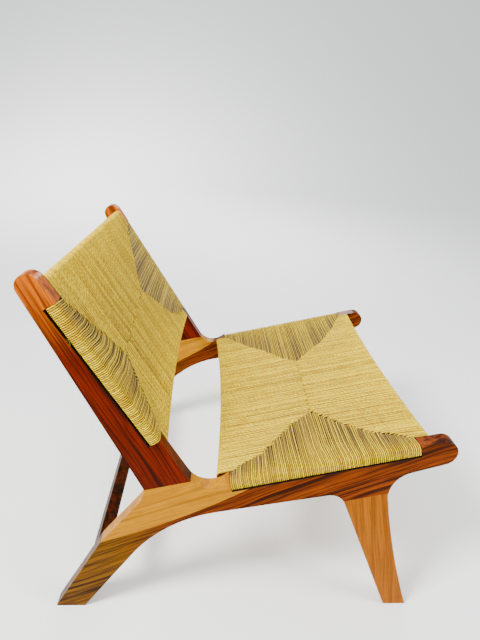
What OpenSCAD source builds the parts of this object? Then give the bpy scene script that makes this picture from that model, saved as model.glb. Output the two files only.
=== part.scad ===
// Low lounge chair: two shaped wooden side frames, joined by rounded cross rails and a rear
// stretcher, with a rope seat and a rope back wound over slotted strips in the side frames.
// All lengths are in millimetres. +X is the front, +Y the sitter's left, +Z up.

/* [Overall] */
// Width over the two side frames
chair_w = 650; // [520:1:800]
// Height of the point where the seat line meets the back line
crotch_h = 293; // [250:1:355]
// Length of the seat line, from the crotch to the tip of the side rail
seat_len = 470; // [400:1:570]
// Length of the back line, from the crotch to the tip of the back post
back_len = 464; // [390:1:560]
// Rise of the seat line towards the front
seat_angle = 13.7; // [8:0.1:18]
// Lean of the back line from upright
back_angle = 31.8; // [24:0.1:36]

/* [Side frames] */
// Thickness of the boards that the side frames are cut from
board_t = 27; // [24:0.5:34]
// Radius of the side rail's front tip
nose_r = 24; // [18:0.5:26]
// Radius of the back post's top
post_tip_r = 19.5; // [17:0.5:23]
// Distance of the back post's rear lower corner behind the crotch
post_foot_back = 89; // [76:1:105]
// Height of the joint under the back post, above the seat line
post_joint_rise = 16.5; // [10:0.5:24]
// Radius of the hollow between the back post and the seat
crotch_r = 44; // [36:1:52]
// Depth of that hollow below the seat line
crotch_dip = 7; // [0:0.5:10]
// Depth of the side rail under the crotch
rail_depth_rear = 58; // [48:1:68]
// Depth of the side rail behind the front leg
rail_depth_mid = 71; // [60:1:82]
// Depth of the side rail in front of the front leg
rail_depth_front = 57; // [50:1:64]
// Depth of the joint between the side rail and the front leg
leg_joint_depth = 90; // [82:1:110]
// Distance of the rear foot's heel behind the crotch
heel_back = 268; // [230:1:310]
// Lean of the rear leg from upright
rear_leg_angle = 29.7; // [24:0.1:34]
// Height at which the rear leg bends into the knee
hip_h = 165; // [130:1:190]
// Length of the rear foot on the floor
rear_foot_w = 55; // [44:1:66]
// Length of the front foot on the floor
front_foot_w = 46; // [38:1:56]
// Hollow of the front leg's front edge
front_leg_bow = 7; // [0:0.5:12]
// Hollow of the joint under the knee block
knee_joint_bow = 8; // [0:0.5:12]

/* [Rope panels] */
// Diameter of the rope
rope_d = 3.5; // [3:0.1:4]
// Thickness of the strip that the side ropes are wound over
strip_t = 17.5; // [15:0.5:21]
// Height of the slot behind that strip
slot_h = 5.5; // [5:0.5:8]
// How far the strip is cut back from the board's faces
strip_rebate = 2; // [1:0.5:3]
// Width of the cross rails that carry the panels
rail_w = 20; // [18:0.5:24]
// Radius on the edges of the cross rails and the strips
rail_edge_r = 5; // [3:0.5:6]
// Bend of the seat's rear rail
seat_rear_bow = 10; // [7:1:14]
// Bend of the seat's front rail
seat_front_bow = 8; // [7:1:14]
// Bend of the back's bottom rail
back_bottom_bow = 12; // [7:1:16]

/* [Stretcher and dowels] */
// Width of the rear stretcher, along the leg
stretcher_w = 21; // [18:0.5:28]
// Depth of the rear stretcher, into the leg
stretcher_d = 25; // [20:0.5:30]
// Height of the stretcher's upper rear edge
stretcher_h = 149; // [120:1:156]
// Diameter of the dowels in the side frames
frame_dowel_d = 10; // [8:0.5:12]
// Length of the dowels in the side frames
frame_dowel_len = 54; // [40:1:60]
// Diameter of the dowels in the cross rails
rail_dowel_d = 6; // [5:0.5:7]
// Length of the dowels in the cross rails
rail_dowel_len = 36; // [30:1:40]

/* [Hidden] */
$fn = 48;
arc_steps = 12;
fit_gap = 0.2;          // between the rope and the wood that it is wound on
hole_gap = 1;           // spare depth at the bottom of a dowel hole
big = 1500;             // longer than the chair in any direction
half_w = chair_w / 2;
inner_y = half_w - board_t;
back_dir = 90 + back_angle;
right = -1;
left = 1;

// ---- Side view geometry. A point is [x, z], with x measured forward from the crotch. ----
function dir(a) = [cos(a), sin(a)];
function unit(v) = v / norm(v);
function turn(v) = atan2(v[1], v[0]);
function seat_pt(u, w) = [0, crotch_h] + u * dir(seat_angle) + w * dir(seat_angle + 90);
function back_pt(u, w) = [0, crotch_h] + u * dir(back_dir) + w * dir(back_dir - 90);
function arc(c, r, a0, a1) = [for (i = [0:arc_steps]) c + r * dir(a0 + (a1 - a0) * i / arc_steps)];
// The signed smallest turn from angle a to angle b
function swing(a, b) = let (d = (b - a) % 360) d > 180 ? d - 360 : d < -180 ? d + 360 : d;
// The corner q between p and s, rounded to radius r
function rounded(p, q, s, r) = let (
    a = unit(p - q),
    b = unit(s - q),
    half = acos(a * b) / 2,
    c = q + unit(a + b) * r / sin(half),
    a0 = turn(q + a * r / tan(half) - c),
    a1 = turn(q + b * r / tan(half) - c)
) arc(c, r, a0, a0 + swing(a0, a1));
// Where a line from p touches the circle at c, on the side that is given
function touch(p, c, r, side) = let (
    d = c - p,
    l = norm(d)
) p + sqrt(l * l - r * r) * dir(turn(d) + side * asin(r / l));
// A shallow arc from p to q that bulges to the left of that direction by sag
function bowed(p, q, sag) = let (
    l = norm(q - p),
    r = (l * l / 4 + sag * sag) / (2 * sag),
    c = (p + q) / 2 + (sag - r) * dir(turn(q - p) + 90),
    a0 = turn(p - c)
) arc(c, r, a0, a0 + swing(a0, turn(q - c)));

nose_c = seat_pt(seat_len - nose_r, -nose_r);
tip_c = back_pt(back_len - post_tip_r, -post_tip_r);
heel = [-heel_back, 0];
hip = heel + hip_h * [tan(rear_leg_angle), 1];
post_heel = seat_pt(-post_foot_back, post_joint_rise);
knee_top = post_heel - [7, 26];
under_rear = seat_pt(-73, -rail_depth_rear);
under_mid = seat_pt(seat_len - 216, -rail_depth_mid);
under_front = seat_pt(seat_len - 130, -rail_depth_front);
front_toe = [nose_c[0] - 5, 0];
nose_under = touch(under_front, nose_c, nose_r, -1);
tip_rear = touch(post_heel, tip_c, post_tip_r, 1);
crotch_w = crotch_r - crotch_dip;
opening = back_dir - seat_angle;
crotch_u = (crotch_r + crotch_w * cos(opening)) / sin(opening);
crotch_end = crotch_u + sqrt(crotch_r * crotch_r - crotch_w * crotch_w);
crotch_start = seat_angle - asin(crotch_w / crotch_r);
front_edge = bowed(front_toe, under_front, front_leg_bow);

// The whole side frame, drawn from the seat's rear end, over the back post and round below
outline = concat(
    [seat_pt(crotch_end, 0)],
    arc(seat_pt(crotch_u, crotch_w), crotch_r, crotch_start, back_dir - 270),
    arc(tip_c, post_tip_r, back_angle, turn(tip_rear - tip_c) + 360),
    [post_heel],
    rounded(post_heel, knee_top, hip, 30),
    rounded(knee_top, hip, heel, 120),
    [heel, heel + [rear_foot_w, 0]],
    rounded(heel + [rear_foot_w, 0], under_rear, under_mid, 250),
    rounded(under_rear, under_mid, front_toe - [front_foot_w, 0], 30),
    [front_toe - [front_foot_w, 0], front_toe],
    [for (i = [1:arc_steps - 3]) front_edge[i]],
    rounded(front_edge[arc_steps - 3], under_front, nose_under, 50),
    arc(nose_c, nose_r, turn(nose_under - nose_c), seat_angle + 90)
);
x_low = min([for (p = outline) p[0]]);
x_high = max([for (p = outline) p[0]]);
x_mid = (x_low + x_high) / 2;

// The joint between the knee block and the plank below it, from the rear leg to the seat strip
joint_rear_right = hip;
joint_front_right = seat_pt(86, -25);
joint_rear_left = hip + 24 * unit(knee_top - hip);
joint_front_left = seat_pt(46, 2);
function knee_joint(a, b) = let (
    curve = bowed(b, a, knee_joint_bow),
    last = len(curve) - 1
) concat(
    [curve[0] + big / 10 * unit(curve[0] - curve[1])],
    curve,
    [curve[last] + big / 10 * unit(curve[last] - curve[last - 1])]
);
function knee_line(side) = side == right
    ? knee_joint(joint_rear_right, joint_front_right)
    : knee_joint(joint_rear_left, joint_front_left);

// ---- Panels. Along a panel, 0 is the crotch; across it, 0 is the face of the boards. ----
// [slot start, slot end, first rail's outer edge, last rail's outer edge, first bow, last bow]
seat_panel = [62, seat_len - 65, 40, seat_len - 42.5, seat_rear_bow, seat_front_bow];
back_panel = [116, back_len - 60, 95, back_len - 23.5, back_bottom_bow, 0];
bar_t = strip_t - strip_rebate;
bar_w = board_t - 2 * strip_rebate;
rail_mid = -strip_rebate - bar_t / 2;
dowel_pitch = rail_w / 2;

module on_seat()
    translate([-x_mid, 0, crotch_h]) rotate([0, -seat_angle, 0]) children();
module on_back()
    translate([-x_mid, 0, crotch_h]) rotate([0, -back_dir, 0]) mirror([0, 0, 1]) children();

// A side-view shape as a board of thickness t whose outer face is on the given side
module board(side, t = board_t) {
    outer = side == left ? half_w : t - half_w;
    translate([-x_mid, outer, 0]) rotate([90, 0, 0]) linear_extrude(t) children();
}

// A rounded bar section, w wide and t thick, centred on the origin and grown all round
module rounded_section(w, t, grow = 0) {
    x_in = w / 2 - rail_edge_r;
    y_in = t / 2 - rail_edge_r;
    square([2 * x_in, t + 2 * grow], center = true);
    square([w + 2 * grow, 2 * y_in], center = true);
    for (x = [-1, 1], y = [-1, 1])
        translate([x * x_in, y * y_in]) circle(r = rail_edge_r + grow);
}

// The room for a panel's strip and slot, cut through the board
module slot_room(panel, side) {
    length = panel[1] - panel[0];
    translate([panel[0], side * (half_w - board_t / 2) - board_t, -strip_t - slot_h])
        cube([length, 2 * board_t, big]);
}

// The strip that the side ropes are wound over, tied into the board at both ends
module strip_bar(panel, side, grow = 0) {
    length = panel[1] - panel[0] + 2;
    translate([panel[0] - 1, side * (half_w - board_t / 2), rail_mid])
        rotate([90, 0, 90]) linear_extrude(length) rounded_section(bar_w, bar_t, grow);
}

// Centre of a cross rail at its ends, for the panel's first rail (0) or last rail (1)
function rail_end(panel, last) = panel[2 + last] + (last == 1 ? -rail_w / 2 : rail_w / 2);
function bow_radius(bow) = (inner_y * inner_y + bow * bow) / (2 * bow);

// A cross rail, straight, or bent towards the middle of its panel by the pull of the ropes
module cross_rail(panel, last) {
    difference() {
        rail_body(panel, last);
        rail_dowels(panel, last, hole_gap);
    }
}
module rail_body(panel, last, grow = 0) {
    bow = panel[4 + last];
    if (bow > 0)
        bent_rail(rail_end(panel, last), bow, last == 1 ? 1 : -1, grow);
    else
        translate([rail_end(panel, last), inner_y + grow, rail_mid])
            rotate([90, 0, 0])
                linear_extrude(2 * (inner_y + grow)) rounded_section(rail_w, bar_t, grow);
}
module bent_rail(x, bow, out, grow) {
    r = bow_radius(bow);
    sweep = 2 * asin((inner_y + board_t) / r);
    reach = inner_y + grow;
    intersection() {
        translate([x + out * (r - bow), 0, rail_mid])
            rotate([0, 0, 90 + out * 90 - sweep / 2])
                rotate_extrude(angle = sweep, $fn = 720)
                    translate([r, 0]) rounded_section(rail_w, bar_t, grow);
        translate([-big / 2, -reach, -big / 2]) cube([2 * big, 2 * reach, big]);
    }
}

// Two dowels at each end of a cross rail, or the holes for them
module rail_dowels(panel, last, spare = 0) {
    for (side = [right, left], k = [-1, 1])
        translate([rail_end(panel, last) + k * dowel_pitch / 2, side * dowel_y, rail_mid])
            rotate([90, 0, 0])
                cylinder(d = rail_dowel_d, h = rail_dowel_len + 2 * spare, center = true);
}
dowel_depth = 16;
dowel_y = inner_y + dowel_depth - rail_dowel_len / 2;

// The stretcher's section is square to the rear leg's edge and flush with it
leg_dir = turn(hip - heel);
stretcher_top = heel + stretcher_h * [tan(rear_leg_angle), 1];
module on_stretcher()
    translate([stretcher_top[0] - x_mid, 0, stretcher_top[1]]) rotate([0, -leg_dir, 0])
        translate([-stretcher_w / 2, 0, -stretcher_d / 2]) children();

module stretcher_dowel_set(spare = 0) {
    on_stretcher()
        for (side = [right, left], k = [-1, 1])
            translate([0, side * dowel_y, k * stretcher_d / 4])
                rotate([90, 0, 0])
                    cylinder(d = rail_dowel_d, h = rail_dowel_len + 2 * spare, center = true);
}

// Dowels square to the seat line, centred on a joint at height w, at each u in the list
post_dowel_u = [-post_foot_back * 0.7, -post_foot_back * 0.34];
leg_dowel_u = [seat_len - 186, seat_len - 152];
module frame_dowels(places, w, side, spare = 0) {
    on_seat()
        for (u = places)
            translate([u, side * (half_w - board_t / 2), w - frame_dowel_len / 2 - spare])
                cylinder(d = frame_dowel_d, h = frame_dowel_len + 2 * spare);
}

// Tacks that hold the rope's two ends, driven into the boards' inner faces behind the slots
tack_head_d = 6;
tack_head_t = 1.2;
tack_pin_d = 1.6;
tack_pin_len = 12;
tack_drop = strip_t + slot_h + 8;
module panel_tacks(panel) {
    for (place = [[right, panel[0] + 30], [left, panel[1] - 30]])
        translate([place[1], place[0] * inner_y, -tack_drop]) {
            rotate([place[0] * 90, 0, 0]) cylinder(d = tack_head_d, h = tack_head_t);
            rotate([-place[0] * 90, 0, 0]) cylinder(d = tack_pin_d, h = tack_pin_len);
        }
}

// A whole side frame in one piece, with its strips, slots and bored holes
module side_frame(side) {
    difference() {
        board(side) polygon(outline);
        on_seat() slot_room(seat_panel, side);
        on_back() slot_room(back_panel, side);
        for (last = [0, 1]) {
            on_seat() rail_dowels(seat_panel, last, hole_gap);
            on_back() rail_dowels(back_panel, last, hole_gap);
        }
        stretcher_dowel_set(hole_gap);
        frame_dowels(post_dowel_u, post_joint_rise, side, hole_gap);
        frame_dowels(leg_dowel_u, -leg_joint_depth, side, hole_gap);
        on_seat() panel_tacks(seat_panel);
        on_back() panel_tacks(back_panel);
    }
    on_seat() strip_bar(seat_panel, side);
    on_back() strip_bar(back_panel, side);
}

// Side-view regions that the side frame is sawn into
module above_post_joint() {
    w = post_joint_rise;
    polygon([seat_pt(-big, w), seat_pt(big, w), seat_pt(big, big), seat_pt(-big, big)]);
}
module below_leg_joint() {
    u = seat_len - 260;
    w = -leg_joint_depth;
    polygon([seat_pt(u, w), seat_pt(u, -big), seat_pt(big, -big), seat_pt(big, w)]);
}
module above_knee_joint(side) {
    line = knee_line(side);
    polygon(concat(line, [line[len(line) - 1] + [0, big], line[0] + [0, big]]));
}

module back_post(side) {
    color("saddlebrown") intersection() {
        side_frame(side);
        board(side, board_t) above_post_joint();
    }
}
module front_leg(side) {
    color("peru") intersection() {
        side_frame(side);
        board(side) below_leg_joint();
    }
}
module knee_block(side) {
    color("goldenrod") difference() {
        intersection() {
            side_frame(side);
            board(side) above_knee_joint(side);
        }
        board(side) above_post_joint();
    }
}
module side_plank(side) {
    color("sienna") difference() {
        side_frame(side);
        board(side) above_post_joint();
        board(side) below_leg_joint();
        board(side) above_knee_joint(side);
    }
}

module rear_stretcher() {
    color("brown") difference() {
        on_stretcher() cube([stretcher_w, 2 * inner_y, stretcher_d], center = true);
        stretcher_dowel_set(hole_gap);
    }
}

// Plan of a panel, with both ends bowed in; grow widens it along the panel
function bow_edge(x, bow) = bow == 0
    ? [[x, -inner_y], [x, inner_y]]
    : let (r = bow_radius(bow)) [
        for (i = [-arc_steps:arc_steps]) let (y = inner_y * i / arc_steps)
            [x + sqrt(r * r - y * y) - r + bow, y]
    ];
function panel_plan(panel, grow) = concat(
    bow_edge(panel[2] - grow, panel[4]),
    [for (p = bow_edge(-panel[3] - grow, panel[5])) [-p[0], -p[1]]]
);

// A wound panel as one solid, with room for its two cross rails and the two strips
module weave(panel) {
    outer_t = bar_t + 2 * rope_d;
    low = rail_mid - outer_t / 2;
    length = panel[1] - panel[0];
    side_y = half_w - strip_rebate + rope_d;
    difference() {
        union() {
            translate([0, 0, low]) linear_extrude(outer_t) polygon(panel_plan(panel, rope_d));
            translate([panel[0] + fit_gap, -side_y, low])
                cube([length - 2 * fit_gap, 2 * side_y, outer_t]);
        }
        for (last = [0, 1]) rail_body(panel, last, fit_gap);
        for (side = [right, left]) strip_bar(panel, side, fit_gap);
    }
}

side_plank(right);  // side_plank_right
side_plank(left);  // side_plank_left
knee_block(right);  // knee_block_right
knee_block(left);  // knee_block_left
back_post(right);  // back_post_right
back_post(left);  // back_post_left
front_leg(right);  // front_leg_right
front_leg(left);  // front_leg_left
color("tan") frame_dowels(post_dowel_u, post_joint_rise, right);  // post_dowels_right
color("tan") frame_dowels(post_dowel_u, post_joint_rise, left);  // post_dowels_left
color("tan") frame_dowels(leg_dowel_u, -leg_joint_depth, right);  // leg_dowels_right
color("tan") frame_dowels(leg_dowel_u, -leg_joint_depth, left);  // leg_dowels_left
color("chocolate") on_seat() cross_rail(seat_panel, 0);  // seat_rear_rail
color("chocolate") on_seat() cross_rail(seat_panel, 1);  // seat_front_rail
color("chocolate") on_back() cross_rail(back_panel, 0);  // back_bottom_rail
color("chocolate") on_back() cross_rail(back_panel, 1);  // back_top_rail
rear_stretcher();
color("tan") on_seat() rail_dowels(seat_panel, 0);  // seat_rear_rail_dowels
color("tan") on_seat() rail_dowels(seat_panel, 1);  // seat_front_rail_dowels
color("tan") on_back() rail_dowels(back_panel, 0);  // back_bottom_rail_dowels
color("tan") on_back() rail_dowels(back_panel, 1);  // back_top_rail_dowels
color("tan") stretcher_dowel_set();  // stretcher_dowels
color("silver") on_seat() panel_tacks(seat_panel);  // seat_rope_tacks
color("silver") on_back() panel_tacks(back_panel);  // back_rope_tacks
color("khaki") on_seat() weave(seat_panel);  // seat_weave
color("khaki") on_back() weave(back_panel);  // back_weave
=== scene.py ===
"""Looks of the low lounge chair: rounded lacquered boards and a seat and back of wound rope.

Lengths are in metres, in the chair's own frame: +X front, +Y the sitter's left, +Z up.
"""

import math

import bmesh
import bpy
import numpy as np
from mathutils import Matrix, Vector
from mathutils.bvhtree import BVHTree


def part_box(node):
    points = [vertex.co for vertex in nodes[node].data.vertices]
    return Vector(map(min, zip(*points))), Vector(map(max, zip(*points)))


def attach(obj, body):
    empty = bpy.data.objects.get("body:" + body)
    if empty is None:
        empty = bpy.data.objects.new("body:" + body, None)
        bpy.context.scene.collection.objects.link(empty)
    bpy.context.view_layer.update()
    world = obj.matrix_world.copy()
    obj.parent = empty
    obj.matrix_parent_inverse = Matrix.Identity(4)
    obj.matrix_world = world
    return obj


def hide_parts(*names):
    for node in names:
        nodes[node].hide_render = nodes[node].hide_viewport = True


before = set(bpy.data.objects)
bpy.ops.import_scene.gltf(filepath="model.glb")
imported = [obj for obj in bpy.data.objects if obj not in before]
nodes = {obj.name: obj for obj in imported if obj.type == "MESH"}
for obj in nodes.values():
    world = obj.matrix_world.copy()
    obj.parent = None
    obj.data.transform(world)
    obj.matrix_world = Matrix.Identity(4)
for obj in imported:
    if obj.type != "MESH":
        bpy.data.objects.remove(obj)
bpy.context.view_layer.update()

# Sizes that are also in the part's source.
ROPE_D = 0.0035  # an estimate
ROPE_GAP = 0.0002  # between the rope and the wood that it is wound on
BAR_EDGE_R = 0.005  # rounding of the rails and strips under the rope
RAIL_W = 0.020  # width of a cross rail
STRIP_REBATE = 0.002  # how far a strip is cut back from its board's inner face
SEAT_ANGLE = math.radians(13.7)
BACK_ANGLE = math.radians(31.8)

# Sizes that only the looks have.
TWIST = 0.0085  # length of rope in which its two plies turn once
SIDE_TUCK = 0.006  # how far the side fields' strands run on under the mitre
SIDE_DIP = 0.0012  # how far those inner ends lie below the top
RAIL_FIELD_GAP = 0.0006  # how far the other fields' strands stop short of it
SIDE_THIN = (0.62, 0.78)  # drawn radius of the side fields' strands, as a share of the rope's
RAIL_THIN = (0.76, 0.90)  # the same in the other fields
CORE_INSET = 0.0022  # from the bars' faces in to the rope core's
OVERLAP = 0.0004  # of the rope core into the rails and strips
EDGE_ROUND = 0.0022  # of the boards
STRETCHER_ROUND = 0.0012
SHARP_ANGLE = math.radians(32)  # edges sharper than this are rounded, and shaded apart
FLAT_ANGLE = math.radians(0.6)  # faces closer than this to one plane become one face
WELD = 2e-6  # points closer than this become one
GLUED = 2e-5  # an edge closer than this to a neighbour is on a glued joint


# ---------------------------------------------------------------- camera, floor and light


def make_camera():
    """Camera from its place, yaw, tilt and roll.

    forward = (sin yaw cos tilt, cos yaw cos tilt, -sin tilt); roll turns right and up about it.
    """
    yaw, tilt, roll = (math.radians(a) for a in (3.69, 22.10, 3.10))
    right0 = Vector((math.cos(yaw), -math.sin(yaw), 0))
    forward = Vector((math.sin(yaw) * math.cos(tilt), math.cos(yaw) * math.cos(tilt), -math.sin(tilt)))
    up0 = right0.cross(forward)
    right = right0 * math.cos(roll) + up0 * math.sin(roll)
    up = up0 * math.cos(roll) - right0 * math.sin(roll)
    data = bpy.data.cameras.new("camera")
    data.lens = 27.28
    data.sensor_width = 36
    data.clip_start = 0.01
    camera = bpy.data.objects.new("camera", data)
    turn = Matrix((right, up, -forward)).transposed()
    camera.matrix_world = Matrix.Translation((-0.0774, -1.0123, 0.8985)) @ turn.to_4x4()
    bpy.context.scene.collection.objects.link(camera)
    bpy.context.scene.camera = camera


def make_stage():
    """Pale floor that curves up into a wall far behind, and soft studio light."""
    half, depth, rise, bend = 9.0, 1.7, 9.0, 7.5
    below = 0.0004
    steps = 32
    profile = [(-half, 0.0), (depth, 0.0)]
    for i in range(1, steps + 1):
        a = math.pi / 2 * i / steps
        profile.append((depth + bend * math.sin(a), bend - bend * math.cos(a)))
    profile.append((depth + bend, rise))
    corners = [(x, y, z) for y, z in profile for x in (-half, half)]
    faces = [(2 * i, 2 * i + 1, 2 * i + 3, 2 * i + 2) for i in range(len(profile) - 1)]
    mesh = bpy.data.meshes.new("floor")
    mesh.from_pydata(corners, [], faces)
    mesh.shade_smooth()
    floor = add_object("floor", mesh, plain_material("floor_paint", rgb(0.90, 0.905, 0.895), 0.75))
    floor.location = (0, 0, -below)

    world = bpy.data.worlds.new("studio")
    bpy.context.scene.world = world
    world.use_nodes = True
    sky = world.node_tree.nodes["Background"]
    sky.inputs["Color"].default_value = rgb(0.96, 0.98, 1.0)
    sky.inputs["Strength"].default_value = 0.95
    add_light("key_light", (-1.7, -1.3, 2.4), 0.8, 195)
    add_light("side_light", (2.1, -1.0, 1.5), 1.0, 62)
    add_light("back_light", (0.45, 2.9, 1.9), 0.6, 60)
    add_light("backdrop_light", (-1.4, 3.0, 2.4), 1.5, 150, (-1.2, 6.0, 0.3))


def add_light(name, place, size, power, target=(0, 0, 0.35)):
    """Square soft light that points at a target, by default the middle of the chair."""
    data = bpy.data.lights.new(name, "AREA")
    data.size = size
    data.energy = power
    light = bpy.data.objects.new(name, data)
    light.location = place
    aim = Vector(target) - Vector(place)
    light.rotation_euler = aim.to_track_quat("-Z", "Y").to_euler()
    bpy.context.scene.collection.objects.link(light)


# ---------------------------------------------------------------- helpers


def add_object(name, mesh, *materials):
    """Object at the origin with a mesh and its materials, linked into the scene."""
    for material in materials:
        mesh.materials.append(material)
    made = bpy.data.objects.new(name, mesh)
    bpy.context.scene.collection.objects.link(made)
    return made


def rgb(red, green, blue):
    return (red, green, blue, 1.0)


def node(tree, kind, **settings):
    """New shader node with some of its settings."""
    made = tree.nodes.new(kind)
    for key, value in settings.items():
        setattr(made, key, value)
    return made


def feed(tree, target, value):
    """Gives a socket a constant or joins another socket to it."""
    if isinstance(value, bpy.types.NodeSocket):
        tree.links.new(value, target)
    else:
        target.default_value = value


def maths(tree, operation, a, b=0.0, clamp=False):
    """One sum on two numbers; an operation on one number ignores b."""
    made = node(tree, "ShaderNodeMath", operation=operation, use_clamp=clamp)
    feed(tree, made.inputs[0], a)
    feed(tree, made.inputs[1], b)
    return made.outputs[0]


def stretch(tree, vector, factors):
    """Place times factors, so that a pattern read from it is as much finer along each axis."""
    made = node(tree, "ShaderNodeVectorMath", operation="MULTIPLY")
    feed(tree, made.inputs[0], vector)
    feed(tree, made.inputs[1], factors)
    return made.outputs[0]


def noise(tree, vector, scale, detail=2.0, roughness=0.5):
    """Soft random value around 0.5."""
    made = node(tree, "ShaderNodeTexNoise")
    feed(tree, made.inputs["Vector"], vector)
    made.inputs["Scale"].default_value = scale
    made.inputs["Detail"].default_value = detail
    made.inputs["Roughness"].default_value = roughness
    return made.outputs["Fac"]


def span(tree, value, low, high, to_low=0.0, to_high=1.0):
    """Value from low..high mapped to to_low..to_high, clamped, with a smooth step."""
    made = node(tree, "ShaderNodeMapRange", interpolation_type="SMOOTHSTEP")
    feed(tree, made.inputs["Value"], value)
    feed(tree, made.inputs["From Min"], low)
    feed(tree, made.inputs["From Max"], high)
    feed(tree, made.inputs["To Min"], to_low)
    feed(tree, made.inputs["To Max"], to_high)
    return made.outputs["Result"]


def blend(tree, factor, a, b, kind="MIX"):
    """Colour a at factor 0, and b, or a combined with b in the given kind, at factor 1."""
    made = node(tree, "ShaderNodeMix", data_type="RGBA", blend_type=kind)
    feed(tree, made.inputs[0], factor)
    feed(tree, made.inputs[6], a)
    feed(tree, made.inputs[7], b)
    return made.outputs[2]


def new_group(name, inputs, outputs):
    """Node group with its sockets; returns the tree and its input and output nodes."""
    tree = bpy.data.node_groups.new(name, "ShaderNodeTree")
    for label, kind in inputs:
        tree.interface.new_socket(label, in_out="INPUT", socket_type=kind)
    for label, kind in outputs:
        tree.interface.new_socket(label, in_out="OUTPUT", socket_type=kind)
    return tree, tree.nodes.new("NodeGroupInput"), tree.nodes.new("NodeGroupOutput")


def use_group(tree, group, **values):
    """Node group put into a tree with its inputs fed; returns its outputs."""
    made = node(tree, "ShaderNodeGroup")
    made.node_tree = group
    for key, value in values.items():
        feed(tree, made.inputs[key], value)
    return made.outputs


def new_material(name):
    """New material, its tree and its main shader."""
    material = bpy.data.materials.new(name)
    material.use_nodes = True
    tree = material.node_tree
    return material, tree, tree.nodes["Principled BSDF"]


def plain_material(name, colour, roughness, specular=0.5, metallic=0.0):
    """Material of one even colour."""
    material, _, shader = new_material(name)
    shader.inputs["Base Color"].default_value = colour
    shader.inputs["Roughness"].default_value = roughness
    shader.inputs["Specular IOR Level"].default_value = specular
    shader.inputs["Metallic"].default_value = metallic
    return material


# ---------------------------------------------------------------- wood


def make_grain_group():
    """Streaked wood, with the grain along the first coordinate.

    Wide streaks and fine fibres are noise stretched along the grain; short dark pores lie in them.
    Sheen is the roughness.
    """
    colour, number, vector = "NodeSocketColor", "NodeSocketFloat", "NodeSocketVector"
    group, given, result = new_group(
        "streaked_grain",
        [("Place", vector), ("Light", colour), ("Middle", colour), ("Dark", colour),
         ("Streaks", number), ("Shift", vector)],
        [("Colour", colour), ("Height", number), ("Sheen", number)],
    )
    moved = node(group, "ShaderNodeVectorMath", operation="ADD")
    group.links.new(given.outputs["Place"], moved.inputs[0])
    group.links.new(given.outputs["Shift"], moved.inputs[1])
    place = moved.outputs[0]
    wander = noise(group, stretch(group, place, (3.0, 4.0, 7.0)), 1.0, 2.0)
    sway = maths(group, "MULTIPLY", maths(group, "SUBTRACT", wander, 0.5), 0.035)
    push = node(group, "ShaderNodeCombineXYZ")
    group.links.new(sway, push.inputs["Z"])
    bent = node(group, "ShaderNodeVectorMath", operation="ADD")
    group.links.new(place, bent.inputs[0])
    group.links.new(push.outputs[0], bent.inputs[1])
    bent = bent.outputs[0]
    broad = noise(group, stretch(group, bent, (3.0, 34.0, 125.0)), 1.0, 3.0, 0.65)
    narrow = noise(group, stretch(group, bent, (8.0, 110.0, 380.0)), 1.0, 2.0, 0.6)
    fibre = noise(group, stretch(group, bent, (22.0, 420.0, 1100.0)), 1.0, 1.0, 0.5)
    pores = noise(group, stretch(group, bent, (55.0, 600.0, 1500.0)), 1.0, 0.0)
    light_part = span(group, broad, 0.38, 0.62)
    base = blend(group, light_part, given.outputs["Middle"], given.outputs["Light"])
    dark_wide = span(group, broad, 0.50, 0.39)
    dark_thin = span(group, narrow, 0.52, 0.39)
    dark = maths(group, "MAXIMUM", dark_wide, maths(group, "MULTIPLY", dark_thin, 0.80))
    dark = maths(group, "MULTIPLY", dark, given.outputs["Streaks"], clamp=True)
    toned = blend(group, dark, base, given.outputs["Dark"])
    fibre_tone = span(group, fibre, 0.30, 0.70, 0.80, 1.14)
    grey = node(group, "ShaderNodeCombineColor")
    for channel in ("Red", "Green", "Blue"):
        group.links.new(fibre_tone, grey.inputs[channel])
    fibred = blend(group, 1.0, toned, grey.outputs[0], "MULTIPLY")
    pore = span(group, pores, 0.36, 0.24)
    pored = blend(group, maths(group, "MULTIPLY", pore, 0.45), fibred, given.outputs["Dark"])
    height = maths(group, "SUBTRACT", maths(group, "MULTIPLY", fibre, 0.5), pore)
    group.links.new(pored, result.inputs["Colour"])
    group.links.new(height, result.inputs["Height"])
    sheen = maths(group, "ADD", 0.30, maths(group, "MULTIPLY", fibre, 0.16))
    group.links.new(sheen, result.inputs["Sheen"])
    return group


def make_wear_group():
    """Handled edges: paler and a little smoother where the edge attribute is high, broken by noise."""
    colour, number = "NodeSocketColor", "NodeSocketFloat"
    group, given, result = new_group(
        "eased_edges",
        [("Colour", colour), ("Sheen", number), ("Amount", number)],
        [("Colour", colour), ("Sheen", number)],
    )
    edge = node(group, "ShaderNodeAttribute", attribute_name="edge").outputs["Fac"]
    place = node(group, "ShaderNodeTexCoord").outputs["Object"]
    patch = span(group, noise(group, place, 60.0, 3.0), 0.38, 0.66)
    worn = maths(group, "MULTIPLY", maths(group, "MULTIPLY", edge, patch), given.outputs["Amount"])
    paler = blend(group, 1.0, given.outputs["Colour"], (1.35, 1.28, 1.15, 1), "MULTIPLY")
    mixed = blend(group, worn, given.outputs["Colour"], paler)
    sheen = maths(group, "SUBTRACT", given.outputs["Sheen"], maths(group, "MULTIPLY", worn, 0.08))
    group.links.new(mixed, result.inputs["Colour"])
    group.links.new(sheen, result.inputs["Sheen"])
    return group


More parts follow.
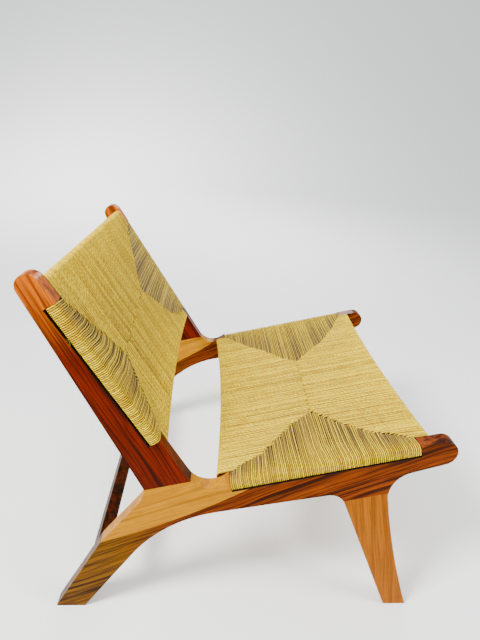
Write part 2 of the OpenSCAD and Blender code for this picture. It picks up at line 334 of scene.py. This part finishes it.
def wood(name, grain_angle, palette, other=None, fade=None, streaks=0.9, shift=(0, 0, 0)):
    """Lacquered wood. The grain runs at grain_angle above +X; other is the palette at the far end
    of fade, given as (axis, from, to) in metres."""
    material, tree, shader = new_material(name)
    place = node(tree, "ShaderNodeTexCoord").outputs["Object"]
    turned = node(tree, "ShaderNodeMapping")
    turned.inputs["Rotation"].default_value = (0, grain_angle, 0)
    tree.links.new(place, turned.inputs["Vector"])
    tones = list(palette)
    if other:
        axis, start, end = fade
        split = node(tree, "ShaderNodeSeparateXYZ")
        tree.links.new(place, split.inputs[0])
        factor = span(tree, split.outputs[axis], start, end)
        tones = [blend(tree, factor, a, b) for a, b in zip(palette, other)]
    grain = use_group(tree, grain_group, Place=turned.outputs[0], Light=tones[0], Middle=tones[1],
                      Dark=tones[2], Streaks=streaks, Shift=shift)
    worn = use_group(tree, wear_group, Colour=grain["Colour"], Sheen=grain["Sheen"], Amount=0.7)
    bump = node(tree, "ShaderNodeBump")
    bump.inputs["Strength"].default_value = 0.35
    bump.inputs["Distance"].default_value = 0.0003
    tree.links.new(grain["Height"], bump.inputs["Height"])
    tree.links.new(worn["Colour"], shader.inputs["Base Color"])
    tree.links.new(worn["Sheen"], shader.inputs["Roughness"])
    tree.links.new(bump.outputs[0], shader.inputs["Normal"])
    shader.inputs["Specular IOR Level"].default_value = 0.06
    shader.inputs["Specular Tint"].default_value = rgb(1.0, 0.45, 0.10)
    edge = node(tree, "ShaderNodeAttribute", attribute_name="edge").outputs["Fac"]
    coat = maths(tree, "ADD", 0.02, maths(tree, "MULTIPLY", edge, 0.35))
    tree.links.new(coat, shader.inputs["Coat Weight"])
    shader.inputs["Coat Roughness"].default_value = 0.18
    return material


# ---------------------------------------------------------------- rope material


def make_twist_group():
    """Two-ply rope: ply = |sin(pi (2 v + u))| with u along the rope in twists and v around it.

    Each strand has its own tone between Gold and Pale. Deep is painted shade in the crease between its
    plies, and also the colour of dark fibre flecks. The fourth colour is painted shade over dark strands,
    as if they lay lower, most at their inner ends, by the fourth input; Shade is painted shade on a
    strand's sides, by Groove.
    """
    colour, number, vector = "NodeSocketColor", "NodeSocketFloat", "NodeSocketVector"
    group, given, result = new_group(
        "twisted_rope",
        [("Place", vector), ("Strand", number), ("Groove", number), ("Dull", number), ("Pale", colour),
         ("Gold", colour), ("Deep", colour), ("Aged", colour), ("Shade", colour)],
        [("Colour", colour), ("Height", number)],
    )
    split = node(group, "ShaderNodeSeparateXYZ")
    group.links.new(given.outputs["Place"], split.inputs[0])
    phase = maths(group, "ADD", split.outputs["X"], maths(group, "MULTIPLY", split.outputs["Y"], 2.0))
    ply = maths(group, "ABSOLUTE", maths(group, "SINE", maths(group, "MULTIPLY", phase, math.pi)))
    lay = node(group, "ShaderNodeCombineXYZ")
    group.links.new(maths(group, "MULTIPLY", phase, 9.0), lay.inputs["X"])
    group.links.new(maths(group, "MULTIPLY", split.outputs["X"], 0.7), lay.inputs["Y"])
    group.links.new(maths(group, "MULTIPLY", given.outputs["Strand"], 60.0), lay.inputs["Z"])
    fibre = noise(group, lay.outputs[0], 1.0, 2.0)
    run = node(group, "ShaderNodeCombineXYZ")
    group.links.new(maths(group, "MULTIPLY", split.outputs["X"], 0.40), run.inputs["X"])
    group.links.new(maths(group, "MULTIPLY", given.outputs["Strand"], 91.0), run.inputs["Y"])
    patch = noise(group, run.outputs[0], 1.0, 2.0)
    own_tone = maths(group, "MULTIPLY", given.outputs["Strand"], 0.35)
    tone = maths(group, "ADD", maths(group, "MULTIPLY", patch, 0.75), own_tone)
    base = blend(group, span(group, tone, 0.36, 0.74), given.outputs["Gold"], given.outputs["Pale"])
    # Painted shade in the crease between the two plies.
    groove = span(group, ply, 0.45, 0.0)
    deep = maths(group, "MULTIPLY", groove, 0.85)
    shaded = blend(group, deep, base, given.outputs["Deep"])
    flecks = maths(group, "MULTIPLY", span(group, fibre, 0.48, 0.32), 0.7)
    flecked = blend(group, flecks, shaded, given.outputs["Deep"])
    # Painted shade: dark strands darkened further, as if they lay lower, most at their inner ends where
    # they go down into the panel.
    inner = node(group, "ShaderNodeAttribute", attribute_name="inner").outputs["Fac"]
    low_shade = span(group, given.outputs["Strand"], 0.70, 0.20, 0.35, 1.0)
    low_shade = maths(group, "MULTIPLY", low_shade, span(group, inner, 0.0, 0.75, 0.2, 1.0))
    low_shade = maths(group, "MULTIPLY", low_shade, given.outputs["Dull"])
    low_shaded = blend(group, low_shade, flecked, given.outputs["Aged"])
    # Painted shade on a strand's sides, away from its outer face.
    around = maths(group, "COSINE", maths(group, "MULTIPLY", split.outputs["Y"], 2 * math.pi))
    side = span(group, around, 0.62, -0.05)
    side = maths(group, "MULTIPLY", side, given.outputs["Groove"])
    grooved = blend(group, side, low_shaded, given.outputs["Shade"])
    height = maths(group, "ADD", ply, maths(group, "MULTIPLY", fibre, 0.35))
    group.links.new(grooved, result.inputs["Colour"])
    group.links.new(height, result.inputs["Height"])
    return group


def rope_material(name, tones, groove, low_shade_amount):
    """Rope in five tones: pale, gold, deep, painted shade of low strands, and painted shade of the
    strands' sides.
    """
    pale, gold, deep, low_shade, shade = tones
    material, tree, shader = new_material(name)
    place = node(tree, "ShaderNodeUVMap", uv_map="UVMap").outputs["UV"]
    strand = node(tree, "ShaderNodeAttribute", attribute_name="strand").outputs["Fac"]
    twist = use_group(tree, twist_group, Place=place, Strand=strand, Groove=groove, Dull=low_shade_amount, Pale=pale,
                      Gold=gold, Deep=deep, Aged=low_shade, Shade=shade)
    bump = node(tree, "ShaderNodeBump")
    bump.inputs["Strength"].default_value = 0.7
    bump.inputs["Distance"].default_value = 0.0006
    tree.links.new(twist["Height"], bump.inputs["Height"])
    tree.links.new(twist["Colour"], shader.inputs["Base Color"])
    tree.links.new(bump.outputs[0], shader.inputs["Normal"])
    shader.inputs["Roughness"].default_value = 0.60
    shader.inputs["Specular IOR Level"].default_value = 0.10
    shader.inputs["Specular Tint"].default_value = rgb(1.0, 0.80, 0.35)
    return material


# ---------------------------------------------------------------- rope panels


class Panel:
    """A rope panel's own frame: s along it, y across, w outwards.

    point = s * along + y * (0, 1, 0) + w * outward, measured from the chair's origin.
    top and bottom are the bars' faces under the rope, half is where the boards begin, strip_out
    the strips' outer edges, slot the two ends of the slots, and first and last each the end of a
    cross rail and its bow.
    """

    def __init__(self, weave, along, outward):
        self.along = np.array(along)
        self.outward = np.array(outward)
        self.hand = math.copysign(1, np.cross(self.along, (0, 1, 0)) @ self.outward)
        count = len(nodes[weave].data.vertices)
        flat = np.zeros(count * 3)
        nodes[weave].data.vertices.foreach_get("co", flat)
        points = flat.reshape(-1, 3)
        s = points @ self.along
        y = points[:, 1]
        w = points @ self.outward
        board_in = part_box("side_plank_left")[0].y
        clear = 0.001
        ends = s[np.abs(y) > board_in + clear]
        self.slot = (ends.min(), ends.max())
        self.strip_out = np.abs(y).max() - ROPE_D
        self.half = board_in
        self.top = w.max() - ROPE_D
        self.bottom = w.min() + ROPE_D
        self.first = (s.min() + ROPE_D, self.bow(s, y, -1))
        self.last = (s.max() - ROPE_D, self.bow(s, y, 1))

    def bow(self, s, y, side):
        """How far the end edge bends in at the middle: its distance from the end at y = 0."""
        middle_half, deepest = 0.012, 0.03
        edge = (s * side).max()
        middle = s[(np.abs(y) < middle_half) & (s * side > edge - deepest)] * side
        return float(edge - middle.max()) if len(middle) else 0.0

    def rail_edge(self, y, last):
        """Outer edge of a cross rail at y: an arc that bends in by the bow at the middle."""
        start, bow = self.last if last else self.first
        inward = -1 if last else 1
        return start + inward * bow * (1 - (y / self.half) ** 2)

    def in_slot(self, point):
        """True for a place in the slot under the strip, or on the slot's edges."""
        s = float(np.dot(point, self.along))
        w = float(np.dot(point, self.outward))
        past_end, below, under_top = 0.001, 0.007, 0.002
        inside = self.slot[0] - past_end < s < self.slot[1] + past_end
        return inside and self.bottom - below < w < self.top - under_top

    def points(self, s, y, w):
        """Places in the chair's frame from places in the panel's."""
        across = np.array([0.0, 1.0, 0.0])
        return s[..., None] * self.along + y[..., None] * across + w[..., None] * self.outward


# ---------------------------------------------------------------- rounded boards


def surface_of(mesh):
    """Search tree over a mesh's faces."""
    corners = [v.co for v in mesh.vertices]
    return BVHTree.FromPolygons(corners, [tuple(p.vertices) for p in mesh.polygons])


def rounded_board(name, neighbours, material, width=EDGE_ROUND):
    """Copy of a CAD board with its outer edges rounded; edges on a glued joint or slot stay sharp."""
    source = nodes[name]
    shape = bmesh.new()
    shape.from_mesh(source.data)
    layer = shape.faces.layers.float.new("edge")
    bmesh.ops.remove_doubles(shape, verts=shape.verts, dist=WELD)
    bmesh.ops.dissolve_limit(shape, angle_limit=FLAT_ANGLE, verts=shape.verts, edges=shape.edges)
    glued = [surface_of(nodes[n].data) for n in neighbours]
    shape.normal_update()
    chosen = []
    for edge in shape.edges:
        if len(edge.link_faces) != 2 or edge.calc_face_angle(0) < SHARP_ANGLE:
            continue
        middle = (edge.verts[0].co + edge.verts[1].co) / 2
        gaps = [tree.find_nearest(middle)[3] for tree in glued]
        if gaps and min(gaps) < GLUED:
            continue
        if any(panel.in_slot(middle) for panel in (seat, back)):
            continue
        chosen.append(edge)
    made = bmesh.ops.bevel(shape, geom=chosen, offset=width, offset_type="OFFSET", segments=3,
                           profile=0.6, affect="EDGES", clamp_overlap=True, loop_slide=True)
    for face in made["faces"]:
        face[layer] = 1.0
    # Faces inside the slots take the second material: near-black painted shade, where the rope overhangs.
    for face in shape.faces:
        middle = face.calc_center_median()
        if abs(face.normal.y) < 0.5 and any(panel.in_slot(middle) for panel in (seat, back)):
            face.material_index = 1
    bmesh.ops.triangulate(shape, faces=[f for f in shape.faces if len(f.verts) > 4])
    mesh = bpy.data.meshes.new(name + "_rounded")
    shape.to_mesh(mesh)
    shape.free()
    mesh.shade_smooth()
    mesh.set_sharp_from_angle(angle=SHARP_ANGLE)
    piece = add_object(name + "_rounded", mesh, material, slot_shade)
    weighted = piece.modifiers.new("weighted", "WEIGHTED_NORMAL")
    weighted.keep_sharp = True
    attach(piece, "root")
    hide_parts(name)
    return piece


def spacing(count, low, high, loose, rng):
    """count places from low to high; loose is how far the steps between them vary."""
    steps = 1 + loose * rng.uniform(-1, 1, count + 1)
    places = np.cumsum(steps)
    return low + (high - low) * places[:-1] / places[-1]


def smooth_noise(count, size, rng):
    """count values in about -1..1 that change slowly, one free value every size places."""
    free = rng.uniform(-1, 1, int(count / size) + 3)
    at = np.arange(count) / size
    low = at.astype(int)
    part = at - low
    part = part * part * (3 - 2 * part)
    return free[low] * (1 - part) + free[low + 1] * part


def wound_strands(panel, along_axis, places, reach, edge, outward_sign, loose, rng,
                  under=0.0, drift=0.0, hang=0.0):
    """Centre lines of strands that go over one bar and back beneath it.

    under is how far the inner end lies below the top, and hang how far the wraps hang below the
    bar. drift pushes a strand sideways by about drift * length / 0.09 * sin(pi t^0.8), with t from
    0 at the bar to 1 at its inner end.

    q is the distance outwards along the strand. A strand comes up from the middle of the panel at
    q = reach, runs out along the top, turns round the bar's edge at q = edge on a rounded
    rectangle of radius BAR_EDGE_R + rope radius, and runs back beneath to q = reach. At both ends
    it dips into the panel, by the steps in dive.
    """
    count = len(places)
    radius = ROPE_D / 2
    turn_r = BAR_EDGE_R + ROPE_GAP + radius
    top = panel.top + ROPE_GAP + radius
    low = panel.bottom - ROPE_GAP - radius - hang
    centre_w = (panel.top + panel.bottom) / 2
    dive = (0.0034, 0.0022, 0.0008)
    flat, drop, least_run, dip_run = 0.0012, 0.0017, 0.004, 0.016
    run = np.linspace(0, 1, 13)
    corner = np.linspace(0, math.pi / 2, 6)
    q_turn = (edge - BAR_EDGE_R)[:, None]
    q_start = np.minimum(reach, edge - BAR_EDGE_R - least_run)[:, None]
    sink = rng.uniform(-0.0005, 0.0002, count)[:, None]
    sag = -0.0012 * np.sin(math.pi * run)[None, :] * np.clip((q_turn - q_start) / 0.15, 0, 1)
    ones = np.ones((count, 1))
    parts_q = [
        *(q_start - step * ones for step in dive),
        q_start + flat + (q_turn - q_start - flat) * run[None, :],
        q_turn + turn_r * np.sin(corner)[None, 1:],
        q_turn + turn_r * np.cos(corner)[None, :-1],
        q_turn + (q_start + flat - q_turn) * run[None, ::2],
        *(q_start - step * ones for step in dive[::-1]),
    ]
    rise = turn_r * (1 - np.cos(corner))[None, 1:]
    fall = turn_r * (1 - np.sin(corner))[None, :-1]
    dip = under * np.clip(1 - run[None, :] * (q_turn - q_start) / dip_run, 0, 1) ** 2
    parts_w = [
        centre_w * ones, (0.45 * top + 0.55 * centre_w) * ones, (top - under - drop) * ones,
        top + sink + sag - dip,
        top - rise * ones,
        low + fall * ones,
        low * ones - sag[:, ::2],
        (low + drop) * ones, (0.45 * low + 0.55 * centre_w) * ones, centre_w * ones,
    ]
    q = np.concatenate([p * ones for p in parts_q], axis=1)
    w = np.concatenate([p * ones for p in parts_w], axis=1)
    rings = q.shape[1]
    step = abs(places[-1] - places[0]) / max(1, count - 1)
    inner = spacing(count, places[0], places[-1], loose, rng) - places
    inner = inner + step * 0.35 * smooth_noise(count, 7, rng)
    away = np.clip((q_turn - q) / 0.05, 0, 1)
    wave = np.zeros((count, rings))
    for length, size in ((0.09, 0.22), (0.035, 0.10)):
        phase = rng.uniform(0, 2 * math.pi, (count, 1))
        wave += step * size * loose * np.sin(2 * math.pi * q / length + phase)
    share = np.clip((q_turn - q) / np.maximum(q_turn - q_start, 0.001), 0, 1)
    slack = drift * ((q_turn - q_start) / 0.09) * (0.7 + 0.5 * smooth_noise(count, 14, rng)[:, None])
    top_side = np.arange(rings)[None, :] < len(dive) + len(run)
    wave = wave + slack * np.sin(math.pi * share ** 0.8) * top_side
    side = places[:, None] + inner[:, None] * away + wave * away
    out = outward_sign * q
    if along_axis:
        return panel.points(out, side, w)
    return panel.points(side, out, w)


def rope_mesh(name, paths, axis, radii, rng, sides=8):
    """Tubes round the centre lines: ring point = path + r (cos t * n + sin t * b).

    b is the given axis made square to the path and n, at t = 0, faces out of the panel. Each
    point is marked with its strand's tone, where every second strand is paler by alternate, and
    with inner, which is 1 at the strand's start and 0 from its middle on.
    """
    alternate = 0.35
    count, rings, _ = paths.shape
    ahead = np.empty_like(paths)
    ahead[:, 1:-1] = paths[:, 2:] - paths[:, :-2]
    ahead[:, 0] = paths[:, 1] - paths[:, 0]
    ahead[:, -1] = paths[:, -1] - paths[:, -2]
    ahead /= np.linalg.norm(ahead, axis=2, keepdims=True)
    first = np.cross(ahead, np.array(axis, float))
    first /= np.linalg.norm(first, axis=2, keepdims=True)
    second = np.cross(first, ahead)
    angle = np.arange(sides) * 2 * math.pi / sides
    ring = (np.cos(angle)[:, None] * first[:, :, None, :] + np.sin(angle)[:, None] * second[:, :, None, :])
    verts = paths[:, :, None, :] + radii[:, None, None, None] * ring
    lengths = np.linalg.norm(np.diff(paths, axis=1), axis=2)
    travel = np.concatenate([np.zeros((count, 1)), np.cumsum(lengths, axis=1)], axis=1)
    turns = travel / (TWIST * rng.uniform(0.8, 1.25, (count, 1))) + rng.uniform(0, 10, (count, 1))
    index = np.arange(count * rings * sides).reshape(count, rings, sides)
    nxt = np.roll(index, -1, axis=2)
    quads = np.stack([index[:, :-1], index[:, 1:], nxt[:, 1:], nxt[:, :-1]], axis=-1).reshape(-1, 4)
    caps = np.concatenate([index[:, 0, :], index[:, -1, ::-1]])
    loops = np.concatenate([quads.ravel(), caps.ravel()])
    starts = np.concatenate([np.arange(len(quads)) * 4, len(quads) * 4 + np.arange(len(caps)) * sides])
    mesh = bpy.data.meshes.new(name)
    mesh.vertices.add(verts.size // 3)
    mesh.vertices.foreach_set("co", verts.astype(np.float32).ravel())
    mesh.loops.add(len(loops))
    mesh.loops.foreach_set("vertex_index", loops.astype(np.int32))
    mesh.polygons.add(len(starts))
    mesh.polygons.foreach_set("loop_start", starts.astype(np.int32))
    around = np.arange(sides) / sides
    shape = (count, rings - 1, sides)
    u0 = np.broadcast_to(turns[:, :-1, None], shape)
    u1 = np.broadcast_to(turns[:, 1:, None], shape)
    v0 = np.broadcast_to(around[None, None, :], shape)
    v1 = v0 + 1 / sides
    uv = np.stack([np.stack([u0, v0], -1), np.stack([u1, v0], -1),
                   np.stack([u1, v1], -1), np.stack([u0, v1], -1)], axis=3).reshape(-1, 2)
    uv = np.concatenate([uv, np.zeros((caps.size, 2))])
    layer = mesh.uv_layers.new(name="UVMap")
    layer.uv.foreach_set("vector", uv.astype(np.float32).ravel())
    tone = alternate * (np.arange(count) % 2) + (1 - alternate) * rng.uniform(0, 1, count)
    mark = mesh.attributes.new("strand", "FLOAT", "POINT")
    mark.data.foreach_set("value", np.repeat(tone, rings * sides).astype(np.float32))
    inner = np.clip(1 - 2 * travel / travel[:, -1:], 0, 1)
    mark = mesh.attributes.new("inner", "FLOAT", "POINT")
    mark.data.foreach_set("value", np.repeat(inner, sides).astype(np.float32))
    mesh.validate()
    mesh.update()
    mesh.shade_smooth()
    return mesh


def rope_piece(name, paths, axis, radii, material, rng, *stands_for):
    """Tubes round the centre lines as one piece, in place of the CAD nodes in stands_for."""
    piece = add_object(name, rope_mesh(name, paths, axis, radii, rng), material)
    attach(piece, "root")
    if stands_for:
        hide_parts(*stands_for)
    return piece


def weave_panel(label, panel, near, far, loose, drift, hang, seed, over_rails, stands_for):
    """Four fields of strands: two wound over the side strips and two over the cross rails.

    near and far are the mitre lines of the two side fields as (s part of the slot, y) from the
    slot's first end over the tip to its last end. The side fields use side_rope.
    """
    rng = np.random.default_rng(seed)
    radius = ROPE_D / 2
    side_ragged, rail_ragged, board_gap = 0.0012, 0.0030, 0.0003
    slot_len = panel.slot[1] - panel.slot[0]
    near_s = np.array([panel.slot[0] + part * slot_len for part, _ in near])
    near_y = np.array([y for _, y in near])
    far_s = np.array([panel.slot[0] + part * slot_len for part, _ in far])
    far_y = np.array([y for _, y in far])
    side_count = int(round(slot_len / ROPE_D))
    side_at = np.linspace(panel.slot[0] + radius, panel.slot[1] - radius, side_count)
    for name, sign, line_s, line_y in (("right", -1, near_s, near_y), ("left", 1, far_s, far_y)):
        tip = np.interp(side_at, line_s, line_y)
        tip = tip + side_ragged * rng.uniform(-1, 1, side_count)
        reach = sign * tip - SIDE_TUCK
        edge = np.full(side_count, panel.strip_out)
        paths = wound_strands(panel, False, side_at, reach, edge, sign, loose, rng,
                              under=SIDE_DIP, drift=drift if sign < 0 else 0.0, hang=hang)
        radii = radius * rng.uniform(*SIDE_THIN, side_count)
        rope_piece(f"{label}_rope_{name}", paths, -sign * panel.hand * panel.along, radii, side_rope, rng,
                   *([stands_for] if sign < 0 else []))
    rail_count = int(round((2 * panel.half - ROPE_D) / ROPE_D))
    rail_end = panel.half - radius - board_gap
    rail_at = np.linspace(-rail_end, rail_end, rail_count)
    near_tip = int(np.argmax(near_y))
    far_tip = int(np.argmin(far_y))
    for name, last in (("first", False), ("last", True)):
        if last:
            line_y = np.concatenate([near_y[:near_tip - 1:-1], far_y[far_tip:]])
            line_s = np.concatenate([near_s[:near_tip - 1:-1], far_s[far_tip:]])
        else:
            line_y = np.concatenate([near_y[:near_tip + 1], far_y[far_tip::-1]])
            line_s = np.concatenate([near_s[:near_tip + 1], far_s[far_tip::-1]])
        tip = np.interp(rail_at, line_y, line_s) + rail_ragged * rng.uniform(-1, 1, rail_count)
        sign = 1 if last else -1
        reach = sign * tip + RAIL_FIELD_GAP
        edge = sign * panel.rail_edge(rail_at, last)
        paths = wound_strands(panel, True, rail_at, reach, edge, sign, loose, rng)
        radii = radius * rng.uniform(*RAIL_THIN, rail_count)
        rope_piece(f"{label}_rope_{name}", paths, (0, sign * panel.hand, 0), radii, over_rails, rng)


def rope_core(name, panel, material):
    """Slab between the two rope layers, in place of the strands that cross inside the panel; the dark
    material that it is given is painted shade, those strands as they look in the dark between the layers.

    Its ends follow the inner edges of the two cross rails. Its sides meet the strips, which are cut
    back from the boards' inner faces, so they go past those faces only within the slot's length.
    """
    wide = panel.half + STRIP_REBATE + OVERLAP
    across = np.concatenate([[-wide], np.linspace(-panel.half, panel.half, 25), [wide]])
    high = panel.top - CORE_INSET
    low = panel.bottom + CORE_INSET
    first = panel.rail_edge(across, False) + RAIL_W - OVERLAP
    last = panel.rail_edge(across, True) - RAIL_W + OVERLAP
    for side in (0, -1):
        first[side] = max(first[side], panel.slot[0] + OVERLAP)
        last[side] = min(last[side], panel.slot[1] - OVERLAP)
    s = np.concatenate([first, last, first, last])
    y = np.tile(across, 4)
    w = np.repeat([low, high], 2 * len(across))
    count = len(across)
    faces = []
    for i in range(count - 1):
        a, b, c, d = i, i + count, i + 2 * count, i + 3 * count
        faces += [(a, b, b + 1, a + 1), (c, c + 1, d + 1, d)]
        faces += [(a, a + 1, c + 1, c), (b, d, d + 1, b + 1)]
    end = count - 1
    faces += [(0, 2 * count, 3 * count, count), (end, end + count, end + 3 * count, end + 2 * count)]
    if panel.hand > 0:
        faces = [face[::-1] for face in faces]
    mesh = bpy.data.meshes.new(name)
    mesh.from_pydata(panel.points(s, y, w).tolist(), [], faces)
    piece = add_object(name, mesh, material)
    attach(piece, "root")


def rope_tails(name, tacks, panel, material, rng):
    """The rope's two ends: each leaves the slot beside its tack, hangs down the board's inner face
    and passes behind the tack's head. The line is a cosine ease between the two places."""
    count = 20
    aside, past_tack, start_drop = 0.012, 0.006, 0.001
    paths = []
    for sign in (-1, 1):
        y = sign * (panel.half - ROPE_D * 0.55)
        verts = [v.co for v in nodes[tacks].data.vertices if v.co.y * sign > 0]
        head = sum(verts, Vector()) / len(verts)
        s_end = float(np.dot(head, panel.along))
        w_end = float(np.dot(head, panel.outward)) - past_tack
        t = np.linspace(0, 1, count)
        ease = (1 - np.cos(math.pi * t)) / 2
        s = s_end + sign * aside * (1 - ease)
        w = panel.bottom - start_drop + (w_end - panel.bottom + start_drop) * t
        paths.append(panel.points(s, np.full(count, y), w))
    rope_piece(name, np.array(paths), panel.along, np.full(2, ROPE_D * 0.42), material, rng)


def frayed_tuft(name, panel, part, material, rng):
    """A few loose fibres beside the back's right slot; each bends evenly as it falls."""
    count = 9
    fibre_r = 0.00025
    t = np.linspace(0, 1, 12)[None, :]
    start = panel.slot[0] + part * (panel.slot[1] - panel.slot[0])
    fan = rng.uniform(-0.5, 0.9, (count, 1))
    length = rng.uniform(0.006, 0.012, (count, 1))
    bend = rng.uniform(-0.6, 0.6, (count, 1))
    angle = fan + bend * t
    s = start + rng.uniform(-0.002, 0.002, (count, 1)) + length * t * np.sin(angle)
    w = panel.bottom + 0.001 - length * t * np.cos(angle) * 0.6
    y = -panel.strip_out - 0.0022 - 0.0015 * t * np.ones((count, 1))
    paths = panel.points(s, y, w)
    mesh = rope_mesh(name, paths, (0, 1, 0), np.full(count, fibre_r), rng, sides=5)
    piece = add_object(name, mesh, material)
    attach(piece, "root")


# ---------------------------------------------------------------- build


make_camera()
make_stage()
grain_group = make_grain_group()
wear_group = make_wear_group()
twist_group = make_twist_group()

# Woods: light, middle and dark tone.
rail_brown = (rgb(0.180, 0.030, 0.0), rgb(0.090, 0.013, 0.0), rgb(0.013, 0.0015, 0.0))
leg_ochre = (rgb(0.150, 0.056, 0.0), rgb(0.072, 0.025, 0.0), rgb(0.010, 0.0025, 0.0))
post_red = (rgb(0.118, 0.006, 0.0), rgb(0.052, 0.002, 0.0), rgb(0.007, 0.0003, 0.0))
post_orange = (rgb(0.50, 0.110, 0.0), rgb(0.33, 0.058, 0.0), rgb(0.05, 0.006, 0.0))
knee_gold = (rgb(0.41, 0.168, 0.0), rgb(0.35, 0.135, 0.0), rgb(0.13, 0.036, 0.0))
honey = (rgb(0.31, 0.090, 0.0), rgb(0.24, 0.064, 0.0), rgb(0.10, 0.022, 0.0))
dark_red = (rgb(0.06, 0.008, 0.0), rgb(0.03, 0.004, 0.0), rgb(0.006, 0.001, 0.0))

seat = Panel("seat_weave", (math.cos(SEAT_ANGLE), 0, math.sin(SEAT_ANGLE)),
             (-math.sin(SEAT_ANGLE), 0, math.cos(SEAT_ANGLE)))
back = Panel("back_weave", (-math.sin(BACK_ANGLE), 0, math.cos(BACK_ANGLE)),
             (math.cos(BACK_ANGLE), 0, math.sin(BACK_ANGLE)))
woods = {
    "plank": wood("rail_wood", math.radians(24), leg_ochre, rail_brown, ("X", -0.26, -0.10)),
    "post": wood("post_wood", math.radians(118), post_red, post_orange, ("Z", 0.54, 0.66),
                 streaks=0.70, shift=(0, 0.3, 0.5)),
    "knee": wood("knee_wood", math.radians(20), knee_gold, streaks=0.30, shift=(0.4, 0.1, 0)),
    "leg": wood("leg_wood", math.radians(100), honey, streaks=0.30, shift=(0.7, 0, 0.2)),
    "cross": wood("cross_wood", 0, dark_red, shift=(0, 0, 0.9)),
}
# Near-black painted shade for the insides of the slots, under the overhanging rope.
slot_shade = plain_material("slot_painted_shade", rgb(0.015, 0.007, 0.004), 0.85, specular=0.1)

# Each board, its wood, a wood material's name that nothing reads, and the boards that it is glued to.
boards = (
    ("side_plank", "plank", "rail_wood", ("knee_block", "front_leg")),
    ("knee_block", "knee", "knee_wood", ("side_plank", "back_post")),
    ("back_post", "post", "post_wood", ("knee_block",)),
    ("front_leg", "leg", "leg_wood", ("side_plank",)),
)
for side in ("right", "left"):
    for board, kind, slot, joined in boards:
        glued = [f"{other}_{side}" for other in joined]
        piece = rounded_board(f"{board}_{side}", glued, woods[kind])
stretcher = rounded_board("rear_stretcher", [], woods["cross"], STRETCHER_ROUND)

pale_wood = (rgb(0.6, 0.42, 0.22), rgb(0.5, 0.33, 0.16), rgb(0.3, 0.2, 0.1))
dowel = wood("dowel_wood", 0, pale_wood, streaks=0.3)
tack = plain_material("tack_steel", rgb(0.55, 0.54, 0.52), 0.35, metallic=1.0)
for name, item in nodes.items():
    if item.hide_render:
        continue
    item.data.materials.clear()
    if "dowels" in name:
        item.data.materials.append(dowel)
    elif "tacks" in name:
        item.data.materials.append(tack)
    else:
        item.data.materials.append(woods["cross"])

# Rope tones: pale, gold, deep (painted crease shade, and flecks), painted shade of low strands, painted
# shade of the strands' sides.
rope_tones = (rgb(0.93, 0.68, 0.004), rgb(0.58, 0.35, 0.0), rgb(0.11, 0.045, 0.004),
              rgb(0.165, 0.098, 0.036), rgb(0.035, 0.020, 0.016))
# groove and the last amount set how much painted shade the strands' sides and the low strands get.
rope = rope_material("rope", rope_tones, groove=0.95, low_shade_amount=0.30)
back_rope = rope_material("back_rope", rope_tones, groove=1.0, low_shade_amount=0.55)
side_rope = rope_material("side_rope", rope_tones, groove=1.0, low_shade_amount=0.95)

# Mitre lines of the two side fields: part of the slot's length, and y.
seat_near = [(0.0, -0.300), (0.12, -0.277), (0.18, -0.266), (0.27, -0.232), (0.37, -0.195), (0.51, -0.156),
             (0.60, -0.192), (0.66, -0.217), (0.73, -0.242), (0.82, -0.266), (1.0, -0.300)]
seat_far = [(0.0, 0.300), (0.155, 0.226), (0.32, 0.155), (0.44, 0.095), (0.53, 0.067),
            (0.63, 0.107), (0.78, 0.161), (0.92, 0.248), (1.0, 0.300)]
back_near = [(0.0, -0.300), (0.25, -0.262), (0.475, -0.222), (0.72, -0.258), (1.0, -0.300)]
back_far = [(0.0, 0.300), (0.07, 0.218), (0.16, 0.166), (0.32, 0.128), (0.55, 0.065),
            (0.80, 0.187), (0.95, 0.262), (1.0, 0.300)]
# The rope core's near-black colour is painted shade: the crossing strands as they look between the two
# layers.
core = plain_material("rope_core", rgb(0.05, 0.035, 0.03), 0.9)
rope_core("seat_rope_core", seat, core)
rope_core("back_rope_core", back, core)
weave_panel("seat", seat, seat_near, seat_far, loose=0.24, drift=0.0, hang=0.0014, seed=11,
            over_rails=rope, stands_for="seat_weave")
weave_panel("back", back, back_near, back_far, loose=0.34, drift=-0.012, hang=0.0, seed=23,
            over_rails=back_rope, stands_for="back_weave")

tail_rng = np.random.default_rng(5)
rope_tails("seat_rope_tails", "seat_rope_tacks", seat, rope, tail_rng)
rope_tails("back_rope_tails", "back_rope_tacks", back, rope, tail_rng)
frayed_tuft("back_rope_tuft", back, part=0.79, material=rope, rng=tail_rng)
